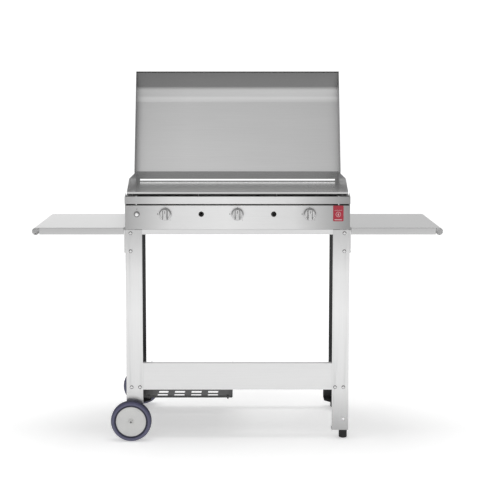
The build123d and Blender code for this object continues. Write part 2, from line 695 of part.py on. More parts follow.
def side_guard():
    """Right splash guard, sloping down towards the front."""
    (front_y, front_z), (slope_y, top_z) = GUARD_SLOPE
    back_y = PLATE_Y[1]
    profile = outline(
        (front_y, GUARD_LOW), (back_y, GUARD_LOW), (back_y, top_z), (slope_y, top_z), (front_y, front_z)
    )
    return along_x(profile, GUARD_X)


def back_splash():
    """Rear splash guard with a long slot above the plate."""
    half = GUARD_X[1]
    y_span = (PLATE_Y[1] + GAP, PLATE_Y[1] + GAP + SHEET)
    splash = slab((-half, half), y_span, (GUARD_LOW, GUARD_TOP))
    return splash - slab((14 - half, half - 14), (y_span[0] - 1, y_span[1] + 1), SPLASH_SLOT_Z)


def hinge_bracket():
    """Right hinge ear, standing up from the rear corner of the body."""
    ear = Pos(HINGE_Y, HINGE_Z) * Circle(EAR_R)
    web = outline(
        (HINGE_Y - EAR_R, HINGE_Z),
        (HINGE_Y + EAR_R, HINGE_Z),
        (424, 893),
        (424, 850),
        (402, 850),
        (402, 893),
    )
    bracket = along_x(ear + web, EAR_X)
    return bracket - rod_x(PIN_R + RUNNING, HINGE_Y, HINGE_Z, (EAR_X[0] - 1, EAR_X[1] + 1))


def hood_plane(x):
    """Drawing plane of the open hood: first axis from the hinge to the lip, second to its outside."""
    lean = math.radians(HOOD_LEAN)
    return Plane(
        origin=(x, HINGE_Y, HINGE_Z),
        x_dir=(0, math.sin(lean), math.cos(lean)),
        z_dir=(-1, 0, 0),
    )


def hood_silhouette():
    """Side view of the hood's inside: lip, slope, bend and flat panel."""
    slope = math.radians(HOOD_SLOPE)
    rise = HOOD_TOP - HOOD_EDGE - HOOD_LIP - HOOD_BEND_R * (1 - math.cos(slope))
    lip_top = (HOOD_REACH, HOOD_EDGE + HOOD_LIP)
    slope_end = (HOOD_REACH - rise / math.tan(slope), lip_top[1] + rise)
    bend_end = (slope_end[0] - HOOD_BEND_R * math.sin(slope), HOOD_TOP)
    edges = Polyline((HOOD_REACH, HOOD_EDGE), lip_top, slope_end)
    edges += TangentArc(bend_end, slope_end, tangent=(1, 0), tangent_from_first=True)
    edges += Polyline(
        bend_end, (HOOD_REAR, HOOD_TOP), (HOOD_REAR, 4), (-12, -14), (14, HOOD_EDGE), (HOOD_REACH, HOOD_EDGE)
    )
    return make_face(edges)


def hood_panel():
    """Bent hood sheet that covers both side walls."""
    inside = hood_silhouette()
    skin = offset(inside, amount=HOOD_SHEET, kind=Kind.INTERSECTION) - inside
    skin -= Pos(HOOD_REACH / 2, HOOD_EDGE - 20) * Rectangle(2 * HOOD_REACH, 40)
    skin -= Pos(-10, HOOD_TOP - 15 - 40) * Rectangle(60, 80)
    skin -= Pos(HOOD_SKIN_REAR - 40, HOOD_TOP) * Rectangle(80, 80)
    return extrude(hood_plane(HOOD_HALF) * skin, amount=2 * HOOD_HALF)


def hood_side():
    """Right side wall of the hood, with the pin's hole."""
    profile = offset(hood_silhouette(), amount=-RUNNING, kind=Kind.INTERSECTION)
    wall = extrude(hood_plane(HOOD_HALF) * profile, amount=HOOD_HALF - HOOD_INNER)
    return wall - rod_x(PIN_R + RUNNING, HINGE_Y, HINGE_Z, (HOOD_INNER - 1, HOOD_HALF + 1))


def hinge_pin():
    """Right hinge pin: shank through the ear and a flat head outside."""
    pin = rod_x(PIN_R, HINGE_Y, HINGE_Z, (EAR_X[0] - 4, HOOD_HALF + GAP))
    pin += rod_x(7, HINGE_Y, HINGE_Z, (HOOD_HALF + GAP, HOOD_HALF + 2.5))
    return pin + rod_x(6.5, HINGE_Y, HINGE_Z, (EAR_X[1] + 0.2, HOOD_INNER - GAP))


def pair(piece):
    """Right-hand piece and its mirror image."""
    return [piece, mirrored(piece)]


def pieces():
    """Every node's name and its solids."""
    nodes = {}
    for name, make in (
        ("front_leg", front_leg),
        ("shelf", side_shelf),
        ("body_side", body_side),
        ("lid_side", hood_side),
    ):
        nodes[name + "_right"] = make()
        nodes[name + "_left"] = mirrored(make())
    nodes["rear_legs"] = pair(rear_leg())
    nodes["rear_foot_brackets"] = pair(rear_foot_bracket())
    nodes["front_apron"] = front_cross_panel(APRON_Z, FRONT_BOLTS[2:])
    nodes["top_rail_front"] = front_cross_panel(TOP_RAIL_Z, FRONT_BOLTS[:1])
    nodes["top_rail_rear"] = top_rail_rear()
    nodes["top_rails_side"] = pair(side_channel(TOP_RAIL_Z, (12, 400), 14))
    nodes["side_rails"] = pair(side_channel(SIDE_RAIL_Z, (8, 416), 14))
    nodes["rear_stretcher"] = rear_stretcher()
    nodes["gas_bottle_tray"] = gas_bottle_tray()
    nodes["tray_hangers"] = [tray_hanger(TRAY_X[0], -1), tray_hanger(TRAY_X[1], 1)]
    nodes["front_bolts"] = front_bolts()
    nodes["shelf_bolts"] = shelf_bolts()
    nodes["stand_bolts"] = stand_bolts()
    nodes["rubber_feet"] = [rubber_foot(y) for y in FOOT_Y]
    nodes["wheel_axle"] = wheel_axle()
    nodes["axle_nuts"] = axle_nuts()
    for name, y, outward in (("front", WHEEL_Y[0], -1), ("rear", WHEEL_Y[1], 1)):
        nodes["tyre_" + name] = tyre(y)
        nodes["hub_" + name] = hub(y, outward)
    nodes["shelf_end_plates"] = pair(shelf_end_plate())
    nodes["body_back"] = body_back()
    nodes["body_pan"] = body_pan()
    nodes["control_panel"] = control_panel()
    nodes["badge"] = badge()
    for name, x in zip(KNOB_NAMES, KNOB_X):
        nodes["knob_" + name] = knob(x)
        nodes["valve_stem_" + name] = valve_stem(x)
        nodes["valve_collar_" + name] = valve_collar(x)
    nodes["gas_valves"] = [gas_valve(x) for x in KNOB_X]
    nodes["gas_manifold"] = gas_manifold()
    nodes["gas_inlet"] = gas_inlet()
    nodes["burners"] = [burner(x) for x in KNOB_X]
    nodes["burner_cradles"] = [burner_cradle(y) for y in CRADLE_Y]
    nodes["electrodes"] = [electrode(x) for x in KNOB_X]
    nodes["igniter_body"] = igniter_body()
    nodes["igniter_button"] = igniter_button()
    nodes["grease_drawer"] = grease_drawer()
    nodes["drawer_runners"] = pair(drawer_runner())
    nodes["plate_supports"] = pair(plate_support())
    nodes["plate_studs"] = plate_studs()
    nodes["griddle_plate"] = griddle_plate()
    nodes["side_guards"] = pair(side_guard())
    nodes["back_splash"] = back_splash()
    nodes["hinge_brackets"] = pair(hinge_bracket())
    nodes["lid_panel"] = hood_panel()
    nodes["hinge_pins"] = pair(hinge_pin())
    return nodes


def write(name, shape):
    """Export one node, moved so that the origin is under the middle of the griddle."""
    solids = shape if isinstance(shape, list) else [shape]
    body = Compound(children=[Solid(part.wrapped) for item in solids for part in item.solids()])
    export_step(Pos(0, -ORIGIN_DEPTH, 0) * body, f"parts/{name}.step")


os.makedirs("parts", exist_ok=True)
for node_name, node_shape in pieces().items():
    write(node_name, node_shape)
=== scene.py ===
import json
import math

import bmesh
import bpy
from mathutils import Matrix, Vector


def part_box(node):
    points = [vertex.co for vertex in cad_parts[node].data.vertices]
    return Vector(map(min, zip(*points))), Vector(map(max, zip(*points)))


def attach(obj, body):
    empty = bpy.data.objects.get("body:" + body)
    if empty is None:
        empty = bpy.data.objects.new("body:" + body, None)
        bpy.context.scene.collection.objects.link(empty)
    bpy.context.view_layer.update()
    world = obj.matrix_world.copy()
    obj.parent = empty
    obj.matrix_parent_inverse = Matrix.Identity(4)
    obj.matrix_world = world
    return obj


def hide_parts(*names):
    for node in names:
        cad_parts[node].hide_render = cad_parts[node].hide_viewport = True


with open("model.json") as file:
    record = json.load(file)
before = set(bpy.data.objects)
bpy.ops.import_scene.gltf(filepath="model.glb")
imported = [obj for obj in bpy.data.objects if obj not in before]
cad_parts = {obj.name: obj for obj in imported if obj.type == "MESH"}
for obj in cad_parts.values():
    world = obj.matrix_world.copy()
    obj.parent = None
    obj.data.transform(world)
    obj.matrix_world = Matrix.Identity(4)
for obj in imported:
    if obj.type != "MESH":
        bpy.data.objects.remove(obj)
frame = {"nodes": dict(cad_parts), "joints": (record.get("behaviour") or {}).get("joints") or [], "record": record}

# Everything is in metres in the frame of the CAD model: +X to the right, +Y to the back, +Z up.

for starter in ("Cube", "Light", "Camera"):
    if starter in bpy.data.objects:
        bpy.data.objects.remove(bpy.data.objects[starter])
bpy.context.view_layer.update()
MM = 0.001

# ---------------------------------------------------------------- places read from the frame
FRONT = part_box("front_leg_left")[0].y
BODY_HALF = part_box("front_leg_right")[1].x
HINGE = Vector(next(j for j in frame["joints"] if j["name"] == "lid_hinge")["pos_m"])
KNOBS = ("left", "centre", "right")


def middle(node):
    """Centre of a CAD node's box."""
    low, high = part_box(node)
    return (Vector(low) + Vector(high)) / 2


KNOB_CENTRES = {name: middle("knob_" + name) for name in KNOBS}


# ---------------------------------------------------------------- materials
# Noise cycles per metre, along and across the brush lines: the lines, and the broad cloudiness.
BRUSH_LINES = (6.0, 900.0)
BRUSH_CLOUD = (1.2, 7.0)
# Cosine of the turn away from a direction over which a painted shade that keeps to one side sets in.
FACING_EDGE = (-0.02, 0.05)
# Pointiness at which wear starts and is full.
WORN_EDGE = ((0.52, 0.0), (0.6, 1.0))


def new_material(name):
    """Empty node material with its shader; returns (material, nodes, links, shader)."""
    material = bpy.data.materials.new(name)
    material.use_nodes = True
    nodes = material.node_tree.nodes
    return material, nodes, material.node_tree.links, nodes["Principled BSDF"]


def stretched_noise(nodes, links, scale, detail=3.0):
    """Noise in object space, stretched by the three numbers in scale (cycles per metre)."""
    coords = nodes.new("ShaderNodeTexCoord")
    mapping = nodes.new("ShaderNodeMapping")
    mapping.inputs["Scale"].default_value = scale
    noise = nodes.new("ShaderNodeTexNoise")
    noise.inputs["Scale"].default_value = 1.0
    noise.inputs["Detail"].default_value = detail
    links.new(coords.outputs["Object"], mapping.inputs["Vector"])
    links.new(mapping.outputs["Vector"], noise.inputs["Vector"])
    return noise.outputs["Fac"]


def ramp(nodes, links, source, stops):
    """Colour ramp from a factor; stops are (position, grey or colour)."""
    node = nodes.new("ShaderNodeValToRGB")
    elements = node.color_ramp.elements
    while len(elements) < len(stops):
        elements.new(0.5)
    for element, (position, value) in zip(elements, stops):
        element.position = position
        colour = value if isinstance(value, tuple) else (value, value, value)
        element.color = (*colour, 1.0)
    links.new(source, node.inputs["Fac"])
    return node.outputs["Color"]


def mix(nodes, links, mode, factor, first, second):
    """Mix of two colours; the factor and each colour may be a socket or a plain value."""
    node = nodes.new("ShaderNodeMix")
    node.data_type = "RGBA"
    node.blend_type = mode
    if isinstance(factor, float):
        node.inputs["Factor"].default_value = factor
    else:
        links.new(factor, node.inputs["Factor"])
    for source, socket in ((first, node.inputs[6]), (second, node.inputs[7])):
        if isinstance(source, tuple):
            socket.default_value = (*source, 1.0)
        else:
            links.new(source, socket)
    return node.outputs[2]


def multiply(nodes, links, first, second):
    """Product of two colours."""
    return mix(nodes, links, "MULTIPLY", 1.0, first, second)


def add_bump(nodes, links, shader, height, distance, strength=1.0):
    """Bump from a height into the shader's normal."""
    bump = nodes.new("ShaderNodeBump")
    bump.inputs["Distance"].default_value = distance
    bump.inputs["Strength"].default_value = strength
    links.new(height, bump.inputs["Height"])
    links.new(bump.outputs["Normal"], shader.inputs["Normal"])


def projected(nodes, links, output, direction, start, end):
    """Factor from 0 to 1 as a texture coordinate goes from start to end along a direction."""
    coords = nodes.new("ShaderNodeTexCoord")
    dot = nodes.new("ShaderNodeVectorMath")
    dot.operation = "DOT_PRODUCT"
    dot.inputs[1].default_value = direction
    links.new(coords.outputs[output], dot.inputs[0])
    span = nodes.new("ShaderNodeMapRange")
    span.inputs["From Min"].default_value = start
    span.inputs["From Max"].default_value = end
    links.new(dot.outputs["Value"], span.inputs["Value"])
    return span.outputs["Result"]


def along(nodes, links, direction, start, end):
    """Factor from 0 to 1 between two distances along a direction in object space."""
    return projected(nodes, links, "Object", direction, start, end)


def facing(nodes, links, direction):
    """Factor of 1 where the surface faces a direction in object space."""
    return projected(nodes, links, "Normal", direction, *FACING_EDGE)


def edge_wear(nodes, links):
    """Factor that rises on convex edges."""
    geometry = nodes.new("ShaderNodeNewGeometry")
    return ramp(nodes, links, geometry.outputs["Pointiness"], WORN_EDGE)


def lengthwise(axis, along_axis, across):
    """Noise scale that is drawn out along one axis."""
    scale = [across] * 3
    scale[axis] = along_axis
    return scale


def brushed(name, tone, grain, rough=(0.3, 0.42), painted_shades=(), only=None, depth=0.00001):
    """Brushed steel. grain is the axis of the brush lines. Each painted shade is (direction, start, end,
    stops) and darkens the colour along its direction, on the side that faces only where that is given."""
    material, nodes, links, shader = new_material(name)
    lines = stretched_noise(nodes, links, lengthwise(grain, *BRUSH_LINES), 4.0)
    cloud = stretched_noise(nodes, links, lengthwise(grain, *BRUSH_CLOUD), 2.0)
    base = ramp(nodes, links, lines, ((0.25, tone * 0.96), (0.75, tone * 1.03)))
    base = multiply(nodes, links, base, ramp(nodes, links, cloud, ((0.3, 0.955), (0.7, 1.0))))
    # Painted shade: each stop darkens the steel's colour by place, standing in for light that falls off.
    for direction, start, end, stops in painted_shades:
        factor = along(nodes, links, direction, start, end)
        shaded = multiply(nodes, links, base, ramp(nodes, links, factor, stops))
        if only:
            shaded = mix(nodes, links, "MIX", facing(nodes, links, only), base, shaded)
        base = shaded
    links.new(base, shader.inputs["Base Color"])
    shader.inputs["Metallic"].default_value = 1.0
    roughness = ramp(nodes, links, lines, ((0.2, rough[0]), (0.8, rough[1])))
    links.new(roughness, shader.inputs["Roughness"])
    add_bump(nodes, links, shader, lines, depth, 0.6)
    return material


def painted(name, colour, rough, grain=1800.0, depth=0.00003, metallic=0.0, wear=0.0):
    """Powder coat, rubber or moulded plastic with a fine skin and slight colour change."""
    material, nodes, links, shader = new_material(name)
    skin = stretched_noise(nodes, links, (grain, grain, grain), 2.0)
    cloud = stretched_noise(nodes, links, (9.0, 9.0, 9.0), 3.0)
    tint = multiply(nodes, links, colour, ramp(nodes, links, cloud, ((0.3, 0.86), (0.7, 1.0))))
    if wear:
        worn = tuple(min(1.0, c + wear) for c in colour)
        tint = mix(nodes, links, "MIX", edge_wear(nodes, links), tint, worn)
    links.new(tint, shader.inputs["Base Color"])
    shader.inputs["Metallic"].default_value = metallic
    roughness = ramp(nodes, links, skin, ((0.3, rough - 0.05), (0.7, rough + 0.08)))
    links.new(roughness, shader.inputs["Roughness"])
    add_bump(nodes, links, shader, skin, depth, 0.7)
    return material


def flame_steel(name):
    """Burner tube steel with heat tints towards its middle."""
    material, nodes, links, shader = new_material(name)
    heat = stretched_noise(nodes, links, (14.0, 30.0, 30.0), 4.0)
    colours = ((0.3, (0.42, 0.4, 0.38)), (0.5, (0.5, 0.38, 0.22)), (0.7, (0.25, 0.25, 0.34)))
    links.new(ramp(nodes, links, heat, colours), shader.inputs["Base Color"])
    shader.inputs["Metallic"].default_value = 1.0
    links.new(ramp(nodes, links, heat, ((0.2, 0.35), (0.8, 0.6))), shader.inputs["Roughness"])
    add_bump(nodes, links, shader, heat, 0.0001, 0.4)
    return material


ACROSS = (1.0, 0.0, 0.0)
UPWARDS = (0.0, 0.0, 1.0)
FORWARD = (0, -1, 0)
# Painted light and shade: darker and lighter stretches painted into the steel's colour, by height or from side to
# side.
# Painted shade on the control panel and drawer: darker towards both ends, brightest just left of the middle.
PANEL_PAINTED_SHADE = (
    ACROSS, -BODY_HALF, BODY_HALF, ((0.0, 0.5), (0.2, 0.9), (0.45, 1.0), (0.75, 0.9), (1.0, 0.38))
)
# Painted shade on the front legs: darker towards the foot and towards the top.
LEG_PAINTED_SHADE = (UPWARDS, 0.03, 0.75, ((0.0, 0.56), (0.2, 0.86), (0.6, 1.0), (0.8, 0.96), (1.0, 0.72)))
# Painted shade on the front faces of the shelves: darker towards the top edge of the front flange.
FLANGE_PAINTED_SHADE = (UPWARDS, 0.745, 0.77, ((0.0, 0.92), (0.9, 0.82), (1.0, 0.6)))
# Painted shade: the front edge of the plate is the same darker tone all over, for the shadow in the gap in front
# of it.
PLATE_FRONT_PAINTED_SHADE = (UPWARDS, 0.0, 1.0, ((0.0, 0.66), (1.0, 0.66)))
HOOD_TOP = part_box("lid_panel")[1].z
# Painted shade on the hood: a dark band along the top where the rolled lip turns away from the light, slightly
# darker upwards, and darker towards the ends, most on the left.
HOOD_PAINTED_SHADES = (
    (
        UPWARDS, HOOD_TOP - 0.105, HOOD_TOP,
        ((0.0, 1.0), (0.07, 0.84), (0.3, 0.76), (0.43, 0.36), (1.0, 0.27)),
    ),
    (UPWARDS, HINGE.z, HOOD_TOP - 0.06, ((0.0, 1.0), (0.5, 0.98), (1.0, 0.93))),
    (ACROSS, -BODY_HALF, BODY_HALF, ((0.0, 0.82), (0.25, 0.97), (0.5, 1.0), (0.75, 1.0), (1.0, 0.95))),
)

FINISH = {
    "stainless": brushed("brushed_steel_across", 0.71, 0),
    "stainless_up": brushed("brushed_steel_up_painted_shade", 0.8, 2, painted_shades=(LEG_PAINTED_SHADE,)),
    "stainless_panel": brushed("brushed_steel_panel_painted_shade", 0.78, 0, painted_shades=(PANEL_PAINTED_SHADE,)),
    # Painted shade: the shelves are a darker copy of the steel, for the shade on the right-hand shelf.
    "stainless_shelf": brushed(
        "brushed_steel_shelf_painted_shade", 0.61, 1, (0.27, 0.3), (FLANGE_PAINTED_SHADE,), FORWARD, 0.000003
    ),
    # Painted shade: the back splash is a much darker copy of the steel.
    "splash_steel": brushed("brushed_steel_splash_painted_shade", 0.27, 0, (0.24, 0.34)),
    # Painted shade: the hood's side walls are a darker copy of the steel.
    "hood_side": brushed("brushed_steel_hood_side_painted_shade", 0.42, 2, (0.3, 0.4)),
    "bolt_steel": brushed("polished_bolt", 0.7, 1, (0.1, 0.18)),
    "hood_steel": brushed("brushed_steel_hood_painted_shade", 0.78, 0, (0.33, 0.38), HOOD_PAINTED_SHADES, FORWARD),
    "plate_steel": brushed(
        "brushed_steel_plate_painted_shade", 0.97, 0, (0.12, 0.2), (PLATE_FRONT_PAINTED_SHADE,), FORWARD, 0.000004
    ),
    "black_paint": painted("black_powder_coat", (0.022, 0.022, 0.023), 0.42, wear=0.03),
    "galvanised": brushed("galvanised_sheet", 0.5, 1, (0.4, 0.55)),
    "dark_zinc": brushed("dark_zinc", 0.16, 1, (0.3, 0.45)),
    "zinc": brushed("zinc_plate", 0.5, 1, (0.25, 0.4)),
    "black_bolts": painted("black_bolt", (0.03, 0.03, 0.03), 0.35, metallic=0.6),
    "knob_metal": brushed("brushed_knob", 0.6, 2, (0.22, 0.32)),
    "chrome": brushed("chrome_button", 0.8, 0, (0.06, 0.12)),
    "igniter_plastic": brushed("metallised_bezel", 0.2, 0, (0.1, 0.16)),
    "rubber": painted("black_rubber", (0.012, 0.012, 0.012), 0.6),
    "tyre": painted("slate_tyre", (0.085, 0.085, 0.16), 0.36, 700.0, 0.0001, wear=0.1),
    # Painted shade: a darker copy of the tyre rubber.
    "tyre_shaded": painted("tyre_painted_shade", (0.03, 0.03, 0.062), 0.42, 700.0, 0.0001),
    "hub_plastic": painted("grey_hub", (0.74, 0.74, 0.73), 0.4, wear=0.1),
    "brass": brushed("turned_brass", 0.5, 1, (0.2, 0.35)),
    "gas_pipe": brushed("gas_pipe_steel", 0.4, 0, (0.35, 0.5)),
    "burner_steel": flame_steel("heat_tinted_steel"),
    "ceramic": painted("glazed_ceramic", (0.8, 0.78, 0.72), 0.2),
    "badge_red": painted("red_enamel", (0.42, 0.012, 0.035), 0.22, 300.0),
    "badge_pale": painted("pale_enamel", (0.7, 0.42, 0.44), 0.3, 300.0),
    "print": painted("printed_mark", (0.09, 0.09, 0.09), 0.55, 900.0),
}
# Brass keeps its own colour.
BRASS = (0.72, 0.52, 0.24)
brass_ramp = next(n for n in FINISH["brass"].node_tree.nodes if n.type == "VALTORGB")
for element, shade in zip(brass_ramp.color_ramp.elements, (0.9, 1.05)):
    element.color = (*(part * shade for part in BRASS), 1.0)


# ---------------------------------------------------------------- mesh helpers
BEVEL_ANGLE = 38


def finish_object(name, bm, body, material, nodes=(), bevel=0.0, angle=32.0):
    """Turns a bmesh into a piece that rides on a body, with eased edges."""
    bmesh.ops.remove_doubles(bm, verts=bm.verts, dist=1e-7)
    bmesh.ops.recalc_face_normals(bm, faces=bm.faces)
    mesh = bpy.data.meshes.new(name)
    bm.to_mesh(mesh)
    bm.free()
    mesh.polygons.foreach_set("use_smooth", [True] * len(mesh.polygons))
    mesh.set_sharp_from_angle(angle=math.radians(angle))
    piece = bpy.data.objects.new(name, mesh)
    bpy.context.scene.collection.objects.link(piece)
    mesh.materials.append(material)
    if bevel:
        ease_edges(piece, bevel)
    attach(piece, body)
    if nodes:
        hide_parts(*nodes)
    return piece


def ease_edges(piece, width):
    """Bevels hard edges and weights the normals."""
    bevel = piece.modifiers.new("eased_edges", "BEVEL")
    bevel.width = width
    bevel.segments = 2
    bevel.limit_method = "ANGLE"
    bevel.angle_limit = math.radians(BEVEL_ANGLE)
    bevel.use_clamp_overlap = True
    weighted = piece.modifiers.new("weighted_normals", "WEIGHTED_NORMAL")
    weighted.keep_sharp = True


def arc(centre, radius, start, end, steps=20):
    """Points on an arc, angles in degrees."""
    angles = [math.radians(start + (end - start) * step / steps) for step in range(steps + 1)]
    return [Vector((centre[0] + radius * math.cos(a), centre[1] + radius * math.sin(a))) for a in angles]


def y_profile(u, v, w):
    """Profile in (x, z), extruded along y."""
    return Vector((u, w, v))


def lathe_bmesh(profile, centre, axis, steps=48, bm=None):
    """Turns a closed profile of (radius, distance along axis) about an axis through centre."""
    bm = bm or bmesh.new()
    axis = Vector(axis).normalized()
    side = Vector((0, 0, 1)) if abs(axis.z) < 0.5 else Vector((1, 0, 0))
    other = axis.cross(side)
    rings = []
    for step in range(steps):
        angle = 2 * math.pi * step / steps
        spoke = side * math.cos(angle) + other * math.sin(angle)
        rings.append([bm.verts.new(centre + axis * s + spoke * r) for r, s in profile])
    for ring, following in zip(rings, rings[1:] + rings[:1]):
        count = len(profile)
        for index in range(count):
            after = (index + 1) % count
            quad = (ring[index], ring[after], following[after], following[index])
            if (quad[0].co - quad[3].co).length < 1e-9 and (quad[1].co - quad[2].co).length < 1e-9:
                continue
            bm.faces.new(quad)
    return bm


def bar_bmesh(low, high, bm=None):
    """Closed block between two corners, to be bevelled."""
    bm = bm or bmesh.new()
    low, high = Vector(low), Vector(high)
    size = high - low
    matrix = Matrix.Translation((low + high) / 2) @ Matrix.Diagonal((*size, 1))
    bmesh.ops.create_cube(bm, size=1, matrix=matrix)
    return bm


def bridge(bm, rings):
    """Quads between each ring of points and the next."""
    for ring, following in zip(rings, rings[1:]):
        for index in range(len(ring)):
            after = (index + 1) % len(ring)
            bm.faces.new((ring[index], ring[after], following[after], following[index]))


def join_bmesh(bm, part):
    """Moves the mesh of a part into bm."""
    spare = bpy.data.meshes.new("spare")
    part.to_mesh(spare)
    part.free()
    bm.from_mesh(spare)
    bpy.data.meshes.remove(spare)


def flat_bmesh(points, place, span, bm=None):
    """Closed plate with the given outline, extruded through span."""
    bm = bm or bmesh.new()
    loops = [[bm.verts.new(place(p[0], p[1], w)) for p in points] for w in span]
    for loop in loops:
        bm.faces.new(loop)
    bridge(bm, loops)
    return bm


def rounded_rectangle(x_span, z_span, radius):
    """Outline of a rectangle with round corners."""
    corners = (
        (x_span[1] - radius, z_span[1] - radius, 0),
        (x_span[0] + radius, z_span[1] - radius, 90),
        (x_span[0] + radius, z_span[0] + radius, 180),
        (x_span[1] - radius, z_span[0] + radius, 270),
    )
    points = []
    for x, z, start in corners:
        points += arc((x, z), radius, start, start + 90, 6)
    return points


def loose_boxes(node):
    """Boxes (low, high) of the separate solids inside a CAD node."""
    bm = bmesh.new()
    bm.from_mesh(frame["nodes"][node].data)
    bmesh.ops.remove_doubles(bm, verts=bm.verts, dist=1e-6)
    boxes, seen = [], set()
    for start in bm.verts:
        if start in seen:
            continue
        seen.add(start)
        group, waiting = [], [start]
        while waiting:
            vert = waiting.pop()
            group.append(vert.co.copy())
            for edge in vert.link_edges:
                other = edge.other_vert(vert)
                if other not in seen:
                    seen.add(other)
                    waiting.append(other)
        low = Vector([min(co[axis] for co in group) for axis in range(3)])
        high = Vector([max(co[axis] for co in group) for axis in range(3)])
        boxes.append((low, high))
    bm.free()
    return boxes


# ---------------------------------------------------------------- wheels
TYRE_LUGS = 28
HUB_RIBS = 6
LATHE_STEPS = 96


def wheel_parts(place):
    """Tyre and hub of one wheel; the hub's disc faces away from the legs."""
    tyre_low, tyre_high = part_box("tyre_" + place)
    hub_low, hub_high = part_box("hub_" + place)
    centre = (tyre_low + tyre_high) / 2
    outward = Vector((0, -1 if place == "front" else 1, 0))
    radius = (tyre_high.z - tyre_low.z) / 2
    half = (tyre_high.y - tyre_low.y) / 2
    seat = (hub_high.z - hub_low.z) / 2
    barrel = max(abs(hub_low.y - centre.y), abs(hub_high.y - centre.y))

    wall = (
        (seat, half - 2.6 * MM),
        (seat + 0.4 * MM, half - 1.9 * MM),
        (seat + 2.0 * MM, half - 1.7 * MM),
        (seat + 2.6 * MM, half - 3.6 * MM),
        (seat + 5.0 * MM, half - 3.8 * MM),
        (seat + 5.8 * MM, half - 1.2 * MM),
        (seat + 7.2 * MM, half - 0.3 * MM),
        (seat + 9.5 * MM, half),
        (seat + 12.0 * MM, half - 0.6 * MM),
        (seat + 13.6 * MM, half - 2.2 * MM),
        (seat + 14.2 * MM, half - 3.6 * MM),
        (seat + 15.4 * MM, half - 3.7 * MM),
        (radius - 2.0 * MM, half - 5.2 * MM),
        (radius - 0.6 * MM, half - 7.2 * MM),
        (radius, half - 9.4 * MM),
        (radius, 4.4 * MM),
        (radius - 1.2 * MM, 4.0 * MM),
        (radius - 1.2 * MM, 2.4 * MM),
        (radius, 2.0 * MM),
    )
    profile = [(r, s) for r, s in wall] + [(r, -s) for r, s in reversed(wall)]
    bm = lathe_bmesh(profile, centre, outward, LATHE_STEPS)
    for side in (-1, 1):
        for step in range(TYRE_LUGS):
            angle = 2 * math.pi * step / TYRE_LUGS
            turn = Matrix.Translation(centre) @ Matrix.Rotation(angle, 4, "Y")
            lug = bar_bmesh(
                (-1.5 * MM, -0.9 * MM, seat + 2.2 * MM), (1.5 * MM, 0.9 * MM, seat + 6.4 * MM)
            )
            bmesh.ops.bevel(lug, geom=lug.edges, offset=0.4 * MM, segments=2, affect="EDGES")
            lug.transform(turn @ Matrix.Translation((0, side * (half - 2.9 * MM), 0)))
            join_bmesh(bm, lug)
    wheel_tyre = finish_object(
        "wheel_tyre_" + place, bm, "wheel_" + place, FINISH["tyre"], ("tyre_" + place,), angle=28
    )
    # Painted shade: the recess by the hub, with its lugs, and the tread take the darker copy of the rubber.
    wheel_tyre.data.materials.append(FINISH["tyre_shaded"])
    for face in wheel_tyre.data.polygons:
        out = face.center - centre
        reach = math.hypot(out.x, out.z)
        if reach < seat + 5.9 * MM or reach > radius - 2.6 * MM:
            face.material_index = 1

    face = half - 1.0 * MM
    bore = 4.3 * MM
    disc = (
        (bore, face - 1.6 * MM),
        (7.2 * MM, face - 1.6 * MM),
        (8.2 * MM, face - 0.5 * MM),
        (11.5 * MM, face - 0.4 * MM),
        (12.4 * MM, face - 1.3 * MM),
        (seat - 12.0 * MM, face - 1.0 * MM),
        (seat - 11.0 * MM, face - 0.5 * MM),
        (seat - 6.5 * MM, face - 0.4 * MM),
        (seat - 5.6 * MM, face - 1.1 * MM),
        (seat - 4.2 * MM, face - 1.1 * MM),
        (seat - 3.2 * MM, face - 0.1 * MM),
        (seat - 1.4 * MM, face),
        (seat - 0.3 * MM, face - 0.9 * MM),
        (seat, face - 2.4 * MM),
        (seat, -half + 2.0 * MM),
        (seat - 0.8 * MM, -half + 1.0 * MM),
        (seat - 3.0 * MM, -half + 1.0 * MM),
        (seat - 4.0 * MM, -half + 2.0 * MM),
        (seat - 4.4 * MM, face - 4.4 * MM),
        (seat - 6.0 * MM, face - 4.0 * MM),
        (14.0 * MM, face - 4.0 * MM),
        (11.0 * MM, face - 6.0 * MM),
        (11.0 * MM, -barrel + 0.8 * MM),
        (10.2 * MM, -barrel),
        (bore + 0.6 * MM, -barrel),
        (bore, -barrel + 0.6 * MM),
    )
    bm = lathe_bmesh(disc, centre, outward, LATHE_STEPS)
    for step in range(HUB_RIBS):
        angle = 2 * math.pi * step / HUB_RIBS
        turn = Matrix.Translation(centre) @ Matrix.Rotation(angle, 4, "Y")
        inner_side = sorted(((face - 4.2 * MM) * outward.y, (-half + 3.0 * MM) * outward.y))
        rib = bar_bmesh(
            (-1.2 * MM, inner_side[0], 10.5 * MM), (1.2 * MM, inner_side[1], seat - 4.1 * MM)
        )
        rib.transform(turn)
        join_bmesh(bm, rib)
    finish_object(
        "wheel_hub_" + place, bm, "wheel_" + place, FINISH["hub_plastic"],
        ("hub_" + place,), 0.0003,
    )


